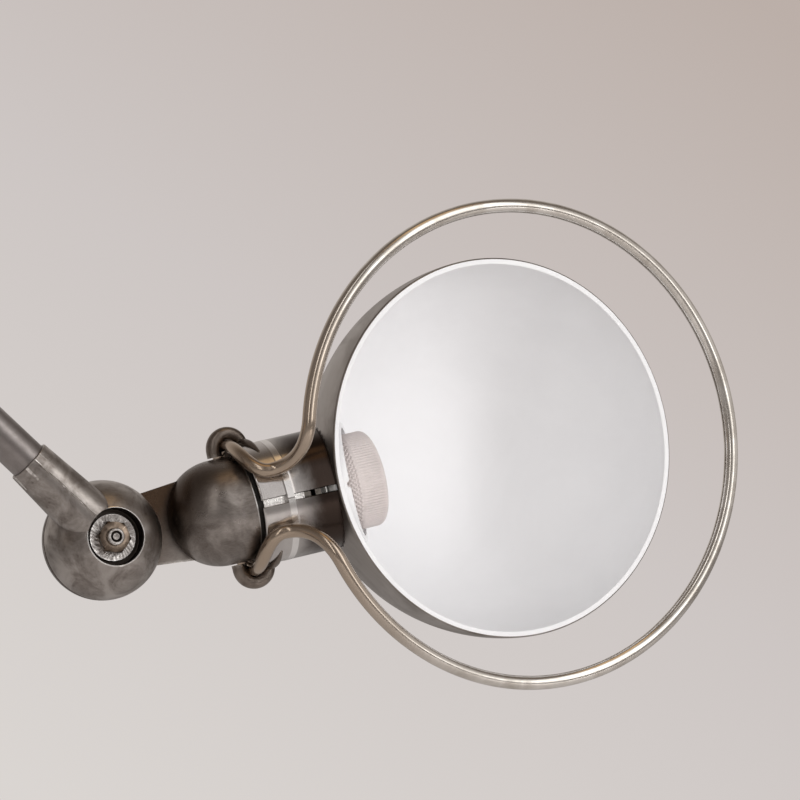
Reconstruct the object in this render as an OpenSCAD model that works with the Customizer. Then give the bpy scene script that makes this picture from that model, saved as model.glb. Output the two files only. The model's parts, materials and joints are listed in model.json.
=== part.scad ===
// Articulated wall lamp: wall plate, swivel, two arms, three ball joints and a round reflector.
// Millimetres, +Z up. The origin is the centre of the wall plate's back face, and +X leaves the wall.

/* [Wall plate] */
// Diameter of the round wall plate
plate_d = 110; // [104:1:140]
// Thickness of the wall plate
plate_t = 6; // [5:0.5:9]
// Diameter of the circle that the wall screws lie on
plate_pcd = 86; // [80:1:90]
// Diameter of each wall screw hole
plate_hole_d = 6; // [4:0.5:7]
// Diameter of the opening that the supply cable comes in through
cable_d = 7; // [6:0.5:8]
// Distance from the wall to the base swivel's axis
reach = 60; // [58:1:80]

/* [Arms] */
// Distance between the two ball joints of each arm
arm_length = 250; // [200:5:400]
// Outer diameter of the arm tube
tube_d = 16; // [14:0.5:17]
// Wall thickness of the arm tube
tube_wall = 1.5; // [1:0.25:2]
// Distance of each arm's axis from the joint's split face
tube_offset = 12; // [11:0.5:13]
// Distance from a joint's centre to the mouth of its arm socket
socket_reach = 45; // [42:1:52]

/* [Ball joints] */
// Diameter of the ball
ball_d = 48; // [46:1:52]
// Gap between the two half-balls
split_gap = 0.3; // [0.2:0.1:0.6]
// Diameter of the recess that holds the nut
recess_d = 23; // [20:0.5:24]
// Diameter of the axle's shank
axle_d = 8; // [7:0.5:9]
// Diameter of the axle's threaded end
stud_d = 7; // [6:0.5:7.5]
// Width across the flats of the nut
nut_af = 12; // [11:0.5:13]

/* [Head] */
// Diameter of the domed knuckle
dome_d = 42.8; // [40:0.2:44]
// Distance from the head joint's centre to the dome's rim
dome_reach = 60; // [58:1:66]
// Outer diameter of the reflector's neck
neck_d = 49.2; // [48:0.2:52]
// Wall thickness of the neck
neck_wall = 2.6; // [2:0.2:3]
// Gap between the dome's rim and the neck
neck_gap = 1.8; // [1.2:0.2:2.4]
// Diameter of the reflector at its rim
reflector_d = 154; // [150:1:166]
// Depth of the reflector
reflector_depth = 88; // [84:1:96]
// Thickness of the reflector's sheet
sheet = 1.2; // [0.8:0.1:1.5]
// Width of the rim's inward lip
lip_w = 3.4; // [2:0.2:4.4]
// Lean of the reflector's opening towards the front of the head
lean = 9.5; // [7:0.5:11]
// Diameter of the handling ring at the middle of its wire
ring_d = 192; // [188:1:210]
// Diameter of the handling ring's wire
wire_d = 5; // [4:0.5:5]
// Inner diameter of the lampholder's thread
thread_d = 26.4; // [25.8:0.2:27]
// Outer diameter of the knurled shade ring
shade_ring_d = 39; // [38:0.2:41]

/* [Rest pose] */
// Angle of the first arm above the horizontal
shoulder_angle = 60; // [50:1:70]
// Angle of the second arm below the horizontal
elbow_angle = 41.5; // [36:0.5:48]
// Angle of the head's axis above the horizontal
head_pitch = 14; // [8:0.5:18]
// Turn of the reflector about the head's axis
head_turn = 2; // [0:0.5:5]

/* [Hidden] */
$fn = 72;

// Clearances
run = 0.05;          // radial clearance of a shaft that turns in its bore
seat = 0.05;         // radial clearance of a piece that is fixed in its seat
air = 0.3;           // clearance of curved faces that pass each other
eps = 0.01;
over = 1;            // how far a cutting solid runs past what it cuts

// Ball joint, seen from its centre, with +Z towards the nut
ball_r = ball_d / 2;
recess_r = recess_d / 2;
axle_r = axle_d / 2;
stud_r = stud_d / 2;
cavity_r = ball_r - 7;
cavity_z = 5;
recess_floor = ball_r - 10;
head_recess_r = 9;
washer_t = 2;
washer_r = recess_r - 2;
nut_h = 3.5;
stud_out = 2.1;
disc_r = cavity_r - 0.5;
disc_t = 3.5;
holder_t = 3;
contact_t = 0.6;
contact_w = 2;
contact_radii = [axle_r + 4, axle_r + 9];
pin_r = 1;
spring_count = 3;
spring_t = 0.8;
spring_pitch = 1;
axle_head_r = 7;
axle_head_h = 3.5;

// Arm socket
tube_r = tube_d / 2;
root_r = tube_offset - 1;
mouth_r = tube_r + 1.2;
root_x = ball_r / 2;
tube_seat = ball_r + 2;
passage_r = 3.5;
set_screw_r = 2;
set_screw_x = (tube_seat + socket_reach) / 2 + 2;
conductor_r = 1.1;

// Cone that leaves a half-ball along the split face
cone_x = ball_r * 0.6;
cone_r1 = 14;
cone_r2 = 17.2;
cone_end = dome_reach - 15;
wire_hole_r = 1.8;

// Base: bracket with a vertical barrel, and the stem that turns in it
foot_r = 24;
foot_t = 6;
bracket_screw_r = 2.5;
bracket_screw_circle = 17;
boss_r = 13;
stem_r = 9;
bush_r = stem_r + 3;
barrel_r = bush_r + 5;
barrel_h = 42;
bush_h = 14;
stem_bore_r = 4;
swivel_washer_t = 2.5;
swivel_nut_h = 10;
swivel_nut_af = 26;
cable_r = cable_d / 2;
grommet_r = cable_r + 1.5;
collar_x = 50;
shoulder_z = barrel_h / 2 + collar_x + air;

// Head, seen from the head joint's centre, with +X along the head's axis
dome_r = dome_d / 2;
dome_x = dome_reach - 10;
spigot_r = 17;
knuckle_bore_x = dome_x - dome_r + 7;
spigot_bore_r = 10;
neck_r = neck_d / 2;
neck_in_r = neck_r - neck_wall;
neck_x = dome_reach + neck_gap;
bush_x = neck_x + 0.5;
bush_len = 17.4;
thrust_r = spigot_r + 2.5;
retaining_x = bush_x + bush_len + 0.2;
retaining_r = neck_in_r - 1.5;
retaining_t = 3;
spigot_end = retaining_x + retaining_t;
holder_x = spigot_end + 1.5;
plate_thick = 2.5;
shell_x = holder_x + plate_thick;
shell_r = shade_ring_d / 2 - 2.3;
shell_len = 25;
thread_r = thread_d / 2;
insert_t = 5;
insert_r = thread_r - 0.6;
shade_ring_len = 18;
shade_ring_end = neck_x + 54.2;
shade_ring_lip = 1.5;
holder_screw_r = 1.3;
slit_w = 3;
slit_bridge = 2.8;
slit_open = 12;

// Reflector: its rim's centre and the direction of its opening, in the head's axes
rim_r = reflector_d / 2;
neck_clear = 2;
bevel = 0.8;
rim_x = neck_x + rim_r + 30.2;
rim_back = neck_r + neck_clear - (rim_r + 1) * sin(lean);
rim_centre = [rim_x, -rim_back, 0];
opening = [sin(lean), -cos(lean), 0];
across = [cos(lean), sin(lean), 0];
upward = [0, 0, 1];
bowl_steps = 24;

// Handling ring: a circle in front of the rim, two bends to the neck, and an arc behind it
ring_r = ring_d / 2;
wire_r = wire_d / 2;
ring_forward = 11;
ring_shift = 3;
ring_centre = rim_centre + ring_forward * opening + ring_shift * across;
ring_half_open = 18;
hug_r = dome_r + wire_r + 1.3;
hug_x = neck_x - wire_r - 0.1;
bend_out = neck_r + wire_r + 0.5;
lug_bar_r = 2.5;
lug_r = wire_r + lug_bar_r + 1.6;
lug_y = 3;
lug_z = neck_r;
lug_x = hug_x + 1.2;
wire_sides = 12;
arc_steps = 36;
bend_steps = 12;
hug_steps = 8;

// Joint centres
shoulder = [reach, 0, shoulder_z];
elbow = shoulder + arm_length * [cos(shoulder_angle), 0, sin(shoulder_angle)];
head = elbow + arm_length * [cos(elbow_angle), 0, -sin(elbow_angle)];

// ---- places ----

// A joint's frame: X and Y in the arms' plane, +Z towards the front of the lamp
module at_joint(centre) { translate(centre) rotate([90, 0, 0]) children(); }

// The head's frame: +X along the neck, +Y away from the reflector's opening
module at_head() { translate(head) rotate([0, -head_pitch, 0]) children(); }

// The head's frame with the reflector's turn
module at_reflector() { at_head() rotate([head_turn, 0, 0]) children(); }

// The reflector's own frame: origin at the rim's centre, +Z out of its opening
module at_rim() { at_reflector() translate(rim_centre) rotate([90, 0, lean]) children(); }

// Turns a solid drawn along +Z so that it lies along +X
module along_x() { rotate([0, 90, 0]) children(); }

module ring(outer, inner, height) {
    difference() {
        cylinder(r = outer, h = height);
        translate([0, 0, -over]) cylinder(r = inner, h = height + 2 * over);
    }
}

module hex(across_flats, height) { cylinder(r = across_flats / 2 / cos(30), h = height, $fn = 6); }

// ---- ball joint ----

module half_solid() {
    difference() {
        sphere(r = ball_r, $fn = 96);
        translate([0, 0, split_gap / 2 - ball_r - over])
            cube([3 * ball_r, 3 * ball_r, 2 * (ball_r + over)], center = true);
    }
}

// The cavity behind the split face, the axle's bore and the outer recess
module half_cuts(outer_recess_r) {
    translate([0, 0, -over]) cylinder(r = cavity_r, h = cavity_z + over);
    cylinder(r = axle_r + run, h = ball_r);
    translate([0, 0, recess_floor]) cylinder(r = outer_recess_r, h = ball_r);
}

// A half-ball with the tapered socket of an arm
module socket_half(outer_recess_r) {
    difference() {
        union() {
            half_solid();
            translate([root_x, 0, tube_offset]) along_x() {
                sphere(r = root_r + 0.15, $fn = 64);
                cylinder(r1 = root_r, r2 = mouth_r, h = socket_reach - root_x);
            }
        }
        half_cuts(outer_recess_r);
        translate([tube_seat, 0, tube_offset]) along_x() cylinder(r = tube_r + seat, h = socket_reach);
        translate([root_x + 3, 0, tube_offset]) along_x() cylinder(r = passage_r, h = tube_seat - root_x - 2);
        translate([root_x + 3, 0, cavity_z - over]) cylinder(r = passage_r - 1, h = tube_offset - cavity_z + over);
        translate([set_screw_x, 0, 0]) cylinder(r = set_screw_r + seat, h = tube_offset - tube_r + over);
    }
}

// A half-ball at -Z with half a cone behind the split face, joined to the children; wire_end is where
// the hole for the conductors ends
module cone_half(outer_recess_r, wire_end) {
    difference() {
        union() {
            mirror([0, 0, 1]) half_solid();
            difference() {
                translate([cone_x, 0, 0]) along_x() cylinder(r1 = cone_r1, r2 = cone_r2, h = cone_end - cone_x);
                translate([0, 0, cone_r2 - split_gap / 2]) cube([3 * cone_end, 3 * cone_r2, 2 * cone_r2], center = true);
            }
            children();
        }
        mirror([0, 0, 1]) half_cuts(outer_recess_r);
        translate([cavity_r - 4, 0, -cavity_z / 2 - split_gap / 2]) along_x()
            cylinder(r = wire_hole_r, h = wire_end - cavity_r + 4);
    }
}

module axle() {
    washer_top = recess_floor + washer_t;
    head_z = -recess_floor - spring_count * spring_pitch - 0.4;
    difference() {
        union() {
            translate([0, 0, head_z]) cylinder(r = axle_r, h = recess_floor - head_z - 0.4);
            cylinder(r = stud_r, h = washer_top + nut_h + stud_out);
            translate([0, 0, head_z - axle_head_h]) cylinder(r = axle_head_r, h = axle_head_h);
        }
        translate([0, 0, head_z - axle_head_h]) cube([3 * axle_head_r, 1.6, 2.4], center = true);
        translate([0, 0, washer_top + nut_h + stud_out - 0.5]) cylinder(r1 = 0.4, r2 = 1.2, h = 0.8);
    }
}

module axle_nut() {
    translate([0, 0, recess_floor + washer_t]) difference() {
        intersection() {
            hex(nut_af, nut_h);
            translate([0, 0, -nut_af / 4]) cylinder(r1 = nut_af * 0.8, r2 = nut_af * 0.45, h = nut_h + nut_af / 2);
        }
        translate([0, 0, -over]) cylinder(r = stud_r + seat, h = nut_h + 2 * over);
    }
}

module axle_washer() { translate([0, 0, recess_floor]) ring(washer_r, stud_r + 0.1, washer_t); }

// Cupped disc springs between the axle's head and the half-ball
module axle_springs() {
    outer = head_recess_r - 1;
    inner = axle_r + 0.3;
    lift = spring_pitch - spring_t;
    for (i = [0 : spring_count - 1])
        translate([0, 0, -recess_floor - (i + 1) * spring_pitch - 0.2]) rotate_extrude()
            polygon([[inner, lift], [inner, lift + spring_t - 0.1], [outer, spring_t - 0.1], [outer, 0]]);
}

module contact_disc() { translate([0, 0, cavity_z - disc_t]) ring(disc_r, axle_r + 1, disc_t); }

module contact_rings() {
    for (r = contact_radii)
        translate([0, 0, cavity_z - disc_t - contact_t]) ring(r + contact_w / 2, r - contact_w / 2, contact_t);
}

module pin_holder() {
    difference() {
        translate([0, 0, -cavity_z]) ring(disc_r, axle_r + 1, holder_t);
        pin_places() translate([0, 0, -cavity_z - over]) cylinder(r = pin_r + seat, h = holder_t + 2 * over);
    }
}

module contact_pins() {
    pin_places() translate([0, 0, -cavity_z + 0.5])
        cylinder(r = pin_r, h = 2 * cavity_z - disc_t - contact_t - 0.6, $fn = 24);
}

module pin_places() {
    for (i = [0 : len(contact_radii) - 1]) rotate([0, 0, 90 + 180 * i]) translate([contact_radii[i], 0, 0]) children();
}

// ---- arms: drawn from the joint's centre along +X, on the front side of the split face ----

module tube() {
    translate([tube_seat + 0.1, 0, tube_offset]) along_x()
        ring(tube_r, tube_r - tube_wall, arm_length - 2 * tube_seat - 0.2);
}

module set_screws() {
    for (x = [set_screw_x, arm_length - set_screw_x]) translate([x, 0, tube_offset - root_r + 1.4])
        cylinder(r = set_screw_r, h = root_r - 1.4 - tube_r - seat, $fn = 32);
}

module conductors() {
    for (side = [-1, 1]) translate([root_x + 4, side * (conductor_r + 0.3), tube_offset]) along_x()
        cylinder(r = conductor_r, h = arm_length - 2 * (root_x + 4), $fn = 24);
}

module arm_1_frame() { at_joint(shoulder) rotate([0, 0, shoulder_angle]) mirror([0, 0, 1]) children(); }
module arm_2_frame() { at_joint(elbow) rotate([0, 0, -elbow_angle]) children(); }

// ---- reflector ----

function bowl_arc(radius, depth, steps) = [for (i = [0 : steps]) [radius * cos(90 * i / steps), -depth * sin(90 * i / steps)]];
function reversed(list) = [for (i = [len(list) - 1 : -1 : 0]) list[i]];
function inner_arc(steps) = [for (p = bowl_arc(rim_r - sheet, reflector_depth - sheet, steps)) if (p[1] < -sheet) p];

module bowl_shell() {
    rotate_extrude($fn = 120) polygon(concat(
        [[rim_r - lip_w, 0]],
        bowl_arc(rim_r, reflector_depth, bowl_steps),
        reversed(inner_arc(bowl_steps)),
        [[rim_r - sheet, -sheet], [rim_r - lip_w, -sheet]]
    ));
}

// Everything inside the reflector and in front of its opening
module bowl_room() {
    rotate_extrude($fn = 120) polygon(concat(
        [[0, rim_r], [rim_r - sheet, rim_r], [rim_r - sheet, -sheet]],
        inner_arc(bowl_steps)
    ));
}

// ---- handling ring ----

function unit(v) = v / norm(v);
function bezier(p, t) = pow(1 - t, 3) * p[0] + 3 * pow(1 - t, 2) * t * p[1] + 3 * (1 - t) * t * t * p[2] + t * t * t * p[3];
function ring_point(a) = ring_centre + ring_r * (cos(a) * across + sin(a) * upward);
function ring_heading(a) = cos(a) * upward - sin(a) * across;
function hug_point(a) = [hug_x, hug_r * sin(a), hug_r * cos(a)];

// The ends of the bends: where the circle stops, the low point on the neck, and under the lug
ring_end = 180 - ring_half_open;
saddle = [neck_x + 5.2, -sqrt(bend_out * bend_out - 12.6 * 12.6), 12.6];
hug_start = asin(lug_y / hug_r);
bend_1 = [ring_point(ring_end), ring_point(ring_end) + 14 * ring_heading(ring_end), saddle + [9, -1, 0], saddle];
bend_2 = [saddle, saddle - [8.5, -0.5, -0.5],
          hug_point(hug_start) + [-1, -17 * cos(hug_start), 17 * sin(hug_start) + 0.6], hug_point(hug_start)];

// Half of the wire's route, from the far side of the ring to the middle behind the neck
half_route = concat(
    [for (i = [0 : arc_steps - 1]) ring_point(ring_end * i / arc_steps)],
    [for (i = [0 : bend_steps - 1]) bezier(bend_1, i / bend_steps)],
    [for (i = [0 : bend_steps - 1]) bezier(bend_2, i / bend_steps)],
    [for (i = [0 : hug_steps]) hug_point(hug_start + (90 - hug_start) * i / hug_steps)]
);
last = len(half_route) - 1;
function heading(i) =
    i == 0 ? upward :
    i == last ? -upward :
    unit(unit(half_route[i + 1] - half_route[i]) + unit(half_route[i] - half_route[i - 1]));

// A side direction carried along the route without twist
function side_directions(i, side) = i > last ? [] :
    let (d = heading(i), s = unit(side - (side * d) * d))
    concat([s], side_directions(i + 1, s));
wire_side = side_directions(0, across);

module half_wire() {
    points = [for (i = [0 : last]) let (d = heading(i), s = wire_side[i], q = cross(d, s))
        for (k = [0 : wire_sides - 1])
            half_route[i] + wire_r * (cos(360 * k / wire_sides) * s + sin(360 * k / wire_sides) * q)];
    walls = [for (i = [0 : last - 1]) for (k = [0 : wire_sides - 1])
        let (a = i * wire_sides + k, b = i * wire_sides + (k + 1) % wire_sides)
        [a, a + wire_sides, b + wire_sides, b]];
    start_cap = [for (k = [0 : wire_sides - 1]) k];
    end_cap = [for (k = [wire_sides - 1 : -1 : 0]) last * wire_sides + k];
    polyhedron(points, concat(walls, [start_cap, end_cap]));
}

// A round bar bent over the wire, rooted on the neck at its front leg
module wire_lug() {
    translate([lug_x, lug_y, lug_z]) {
        rotate([90, 0, 0]) rotate_extrude(angle = 180) translate([lug_r, 0]) circle(r = lug_bar_r, $fn = 32);
        translate([lug_r, 0, -neck_wall / 2]) cylinder(r = lug_bar_r - 0.2, h = neck_wall, $fn = 32);
        translate([-lug_r, 0, dome_r + 0.9 - lug_z])
            cylinder(r = lug_bar_r - 0.2, h = lug_z - dome_r, $fn = 32);
    }
}

// ==== base ====

module wall_plate() {
    color("dimgray") along_x() difference() {
        union() {
            cylinder(d = plate_d, h = plate_t - 2);
            translate([0, 0, plate_t - 2 - eps]) cylinder(r1 = plate_d / 2, r2 = plate_d / 2 - 3, h = 2 + eps);
        }
        for (a = [60, 180, 300]) rotate([0, 0, a]) translate([plate_pcd / 2, 0, -over])
            cylinder(d = plate_hole_d, h = plate_t + 2 * over);
        for (a = [0, 120, 240]) rotate([0, 0, a]) translate([bracket_screw_circle, 0, -over]) {
            cylinder(r = bracket_screw_r + seat, h = plate_t + 2 * over);
            cylinder(r = bracket_screw_r + 2, h = over + 2.5);
        }
        translate([0, 0, -over]) cylinder(r = grommet_r + seat, h = plate_t + 2 * over);
    }
}

module bracket_screws() {
    color("silver") along_x() for (a = [0, 120, 240]) rotate([0, 0, a]) translate([bracket_screw_circle, 0, 0]) {
        translate([0, 0, 0.5]) cylinder(r = bracket_screw_r + 1.8, h = 2, $fn = 32);
        translate([0, 0, 1]) cylinder(r = bracket_screw_r, h = plate_t + foot_t - 2, $fn = 32);
    }
}

module cable_grommet() {
    color("black") along_x() ring(grommet_r, cable_r, plate_t + foot_t / 2);
}

module wall_bracket() {
    color("dimgray") difference() {
        union() {
            translate([plate_t, 0, 0]) along_x() cylinder(r1 = foot_r, r2 = foot_r - 2, h = foot_t);
            translate([plate_t + foot_t / 2, 0, 0]) along_x()
                cylinder(r1 = boss_r + 4, r2 = boss_r, h = reach - plate_t - foot_t / 2 - barrel_r / 2);
            translate([reach, 0, -barrel_h / 2]) cylinder(r = barrel_r, h = barrel_h);
        }
        translate([reach, 0, -barrel_h / 2 - over]) cylinder(r = bush_r + seat, h = barrel_h + 2 * over);
        translate([plate_t - over, 0, 0]) along_x() cylinder(r = grommet_r + seat, h = reach - plate_t);
        along_x() for (a = [0, 120, 240]) rotate([0, 0, a]) translate([bracket_screw_circle, 0, 0])
            cylinder(r = bracket_screw_r + seat, h = plate_t + foot_t - 0.5, $fn = 32);
    }
}

module barrel_bushes() {
    color("goldenrod") for (z = [-barrel_h / 2, barrel_h / 2 - bush_h])
        translate([reach, 0, z]) ring(bush_r, stem_r + run, bush_h);
}

module shoulder_base() {
    color("gray") at_joint(shoulder) mirror([0, 0, 1]) rotate([0, 0, -90]) difference() {
        cone_half(recess_r, cone_end + 3) base_stem_solid();
        translate([cone_end + 1, 0, 0]) along_x() cylinder(r = stem_bore_r, h = shoulder_z - cone_end + stem_bore_r);
        translate([shoulder_z, 0, 0]) rotate([90, 0, 0]) cylinder(r = stem_bore_r - 0.5, h = 3 * stem_r, center = true);
    }
}

module base_stem_solid() {
    stem_end = shoulder_z + barrel_h / 2 + swivel_washer_t + swivel_nut_h + 2;
    along_x() {
        translate([0, 0, cone_end - over]) cylinder(r = cone_r2 + 0.2, h = collar_x - cone_end + over);
        translate([0, 0, collar_x - over]) cylinder(r = stem_r, h = stem_end - collar_x + over);
    }
}

module swivel_washer() {
    color("silver") translate([reach, 0, -barrel_h / 2 - 0.1 - swivel_washer_t])
        ring(bush_r + 3, stem_r + run, swivel_washer_t);
}

module swivel_nut() {
    color("silver") translate([reach, 0, -barrel_h / 2 - 0.1 - swivel_washer_t - swivel_nut_h]) difference() {
        hex(swivel_nut_af, swivel_nut_h);
        translate([0, 0, -over]) cylinder(r = stem_r + run, h = swivel_nut_h + 2 * over);
    }
}

// ==== arms ====

module shoulder_half_ball() { color("gray") arm_1_frame() socket_half(head_recess_r); }
module elbow_back_half_ball() {
    color("gray") arm_1_frame() translate([arm_length, 0, 0]) mirror([1, 0, 0]) socket_half(head_recess_r);
}
module arm_1_tube() { color("dimgray") arm_1_frame() tube(); }
module arm_1_set_screws() { color("black") arm_1_frame() set_screws(); }
module arm_1_conductors() { color("saddlebrown") arm_1_frame() conductors(); }

module elbow_front_half_ball() { color("gray") arm_2_frame() socket_half(recess_r); }
module head_half_ball() {
    color("gray") arm_2_frame() translate([arm_length, 0, 0]) mirror([1, 0, 0]) socket_half(recess_r);
}
module arm_2_tube() { color("dimgray") arm_2_frame() tube(); }
module arm_2_set_screws() { color("black") arm_2_frame() set_screws(); }
module arm_2_conductors() { color("saddlebrown") arm_2_frame() conductors(); }

// ==== the three joints' inner pieces ====

module shoulder_axle() { color("silver") at_joint(shoulder) axle(); }
module shoulder_nut() { color("silver") at_joint(shoulder) axle_nut(); }
module shoulder_washer() { color("silver") at_joint(shoulder) axle_washer(); }
module shoulder_springs() { color("silver") at_joint(shoulder) axle_springs(); }
module shoulder_contact_disc() { color("black") at_joint(shoulder) contact_disc(); }
module shoulder_contact_rings() { color("goldenrod") at_joint(shoulder) contact_rings(); }
module shoulder_pin_holder() { color("black") at_joint(shoulder) pin_holder(); }
module shoulder_contact_pins() { color("goldenrod") at_joint(shoulder) contact_pins(); }

module elbow_axle() { color("silver") at_joint(elbow) axle(); }
module elbow_nut() { color("silver") at_joint(elbow) axle_nut(); }
module elbow_washer() { color("silver") at_joint(elbow) axle_washer(); }
module elbow_springs() { color("silver") at_joint(elbow) axle_springs(); }
module elbow_contact_disc() { color("black") at_joint(elbow) contact_disc(); }
module elbow_contact_rings() { color("goldenrod") at_joint(elbow) contact_rings(); }
module elbow_pin_holder() { color("black") at_joint(elbow) pin_holder(); }
module elbow_contact_pins() { color("goldenrod") at_joint(elbow) contact_pins(); }

module head_axle() { color("silver") at_joint(head) axle(); }
module head_nut() { color("silver") at_joint(head) axle_nut(); }
module head_washer() { color("silver") at_joint(head) axle_washer(); }
module head_springs() { color("silver") at_joint(head) axle_springs(); }
module head_contact_disc() { color("black") at_joint(head) contact_disc(); }
module head_contact_rings() { color("goldenrod") at_joint(head) contact_rings(); }
module head_pin_holder() { color("black") at_joint(head) pin_holder(); }
module head_contact_pins() { color("goldenrod") at_joint(head) contact_pins(); }

// ==== head ====

module head_knuckle() {
    color("gray") at_joint(head) rotate([0, 0, head_pitch]) difference() {
        cone_half(head_recess_r, knuckle_bore_x + 3) knuckle_solid();
        translate([knuckle_bore_x, 0, 0]) along_x() cylinder(r = spigot_bore_r, h = spigot_end);
    }
}

module knuckle_solid() {
    difference() {
        translate([dome_x, 0, 0]) rotate([0, 45, 0]) sphere(r = dome_r + 0.05, $fn = 96);
        translate([dome_reach, 0, 0]) along_x() cylinder(r = dome_r, h = dome_r);
    }
    along_x() {
        translate([0, 0, dome_x]) cylinder(r = dome_r, h = dome_reach - dome_x);
        translate([0, 0, dome_x]) cylinder(r = spigot_r, h = spigot_end - dome_x);
    }
}

module thrust_washer() {
    color("black") at_head() translate([dome_reach + 0.05, 0, 0]) along_x()
        ring(thrust_r, spigot_r + run, bush_x - dome_reach - 0.1);
}

module retaining_ring() {
    color("silver") at_head() translate([retaining_x, 0, 0]) along_x() ring(retaining_r, spigot_r + seat, retaining_t);
}

module neck_sleeve() {
    color("gray") difference() {
        at_reflector() {
            difference() {
                translate([neck_x, 0, 0]) along_x() difference() {
                    cylinder(r = neck_r, h = rim_x - neck_x);
                    translate([0, 0, -over]) cylinder(r = neck_in_r, h = rim_x);
                    neck_bevel();
                }
                translate([neck_x - over, -neck_r - over, -slit_w / 2]) cube([slit_open + over, neck_r, slit_w]);
                translate([neck_x + slit_open + slit_bridge, -neck_r - over, -slit_w / 2 + 0.2])
                    cube([rim_r, neck_r, slit_w - 0.4]);
            }
            wire_lug();
            mirror([0, 0, 1]) wire_lug();
        }
        at_rim() bowl_room();
    }
}

// Takes the outer edge off the neck's rear end, so that the wire passes clear of it
module neck_bevel() {
    difference() {
        translate([0, 0, -over]) cylinder(r = neck_r + over, h = bevel + 1.5 * over);
        translate([0, 0, -2 * over])
            cylinder(r1 = neck_r - bevel - 2 * over, r2 = neck_r + over, h = bevel + 3 * over);
    }
}

module neck_bush() {
    color("silver") at_reflector() translate([bush_x, 0, 0]) along_x()
        ring(neck_in_r - seat, spigot_r + run, bush_len);
}

module reflector() {
    color("whitesmoke") difference() {
        at_rim() bowl_shell();
        at_reflector() translate([neck_x, 0, 0]) along_x() cylinder(r = neck_r + seat, h = 44);
    }
}

module handling_ring() {
    color("silver") at_reflector() {
        half_wire();
        mirror([0, 0, 1]) half_wire();
    }
}

module lampholder_plate() {
    color("silver") at_reflector() translate([holder_x, 0, 0]) along_x() difference() {
        ring(neck_in_r - seat, spigot_bore_r, plate_thick);
        holder_screw_places() translate([0, 0, -over]) cylinder(r = holder_screw_r + seat, h = plate_thick + 2 * over);
    }
}

module holder_screw_places() {
    for (a = [0, 180]) rotate([0, 0, a]) translate([(thread_r + shell_r) / 2, 0, 0]) children();
}

module lampholder_screws() {
    color("silver") at_reflector() translate([holder_x, 0, 0]) along_x() holder_screw_places()
        translate([0, 0, 0.2]) cylinder(r = holder_screw_r, h = plate_thick + insert_t, $fn = 24);
}

module lampholder_shell() {
    color("white") at_reflector() translate([shell_x, 0, 0]) along_x() difference() {
        cylinder(r = shell_r, h = shell_len);
        translate([0, 0, -over]) cylinder(r = insert_r + seat, h = shell_len);
        translate([0, 0, insert_t]) cylinder(r = thread_r, h = shell_len);
        holder_screw_places() translate([0, 0, -over]) cylinder(r = holder_screw_r + seat, h = insert_t + 2 * over);
    }
}

module lampholder_insert() {
    color("white") at_reflector() translate([shell_x, 0, 0]) along_x() difference() {
        cylinder(r = insert_r, h = insert_t);
        translate([0, 0, insert_t - 2]) cylinder(r = 5, h = 2 + over);
        translate([8, 0, insert_t / 2]) cube([3.2, 5.2, 2 * insert_t], center = true);
    }
}

module lampholder_contacts() {
    color("goldenrod") at_reflector() translate([shell_x, 0, 0]) along_x() {
        translate([0, 0, insert_t - 2]) cylinder(r = 3.5, h = 1.6);
        translate([8, 0, insert_t / 2]) cube([3, 5, insert_t - 0.4], center = true);
    }
}

module shade_ring() {
    color("lightgray") at_reflector() translate([shade_ring_end - shade_ring_len, 0, 0]) along_x() difference() {
        union() {
            cylinder(d = shade_ring_d, h = shade_ring_len - 1.2);
            translate([0, 0, shade_ring_len - 1.2 - eps])
                cylinder(r1 = shade_ring_d / 2, r2 = shade_ring_d / 2 - 1.2, h = 1.2 + eps);
        }
        translate([0, 0, -over]) cylinder(r = shell_r + seat, h = shade_ring_len - shade_ring_lip + over);
        cylinder(r = thread_r + 1.5, h = shade_ring_len + over);
    }
}

wall_plate();
wall_bracket();
bracket_screws();
cable_grommet();
barrel_bushes();
shoulder_base();
swivel_washer();
swivel_nut();
shoulder_axle();
shoulder_nut();
shoulder_washer();
shoulder_springs();
shoulder_contact_disc();
shoulder_contact_rings();
shoulder_pin_holder();
shoulder_contact_pins();
shoulder_half_ball();
arm_1_tube();
elbow_back_half_ball();
arm_1_set_screws();
arm_1_conductors();
elbow_axle();
elbow_nut();
elbow_washer();
elbow_springs();
elbow_contact_disc();
elbow_contact_rings();
elbow_pin_holder();
elbow_contact_pins();
elbow_front_half_ball();
arm_2_tube();
head_half_ball();
arm_2_set_screws();
arm_2_conductors();
head_axle();
head_nut();
head_washer();
head_springs();
head_contact_disc();
head_contact_rings();
head_pin_holder();
head_contact_pins();
head_knuckle();
thrust_washer();
retaining_ring();
neck_sleeve();
neck_bush();
reflector();
handling_ring();
lampholder_plate();
lampholder_screws();
lampholder_shell();
lampholder_insert();
lampholder_contacts();
shade_ring();
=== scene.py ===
# Articulated workshop lamp: a wall bracket, two jointed steel arms, a ball joint at the head, and a
# round reflector with a wire ring to hold it by. Sizes are in millimetres until a mesh is made.
import json
import math
import bmesh
import bpy
import numpy as np
from mathutils import Matrix


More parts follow.
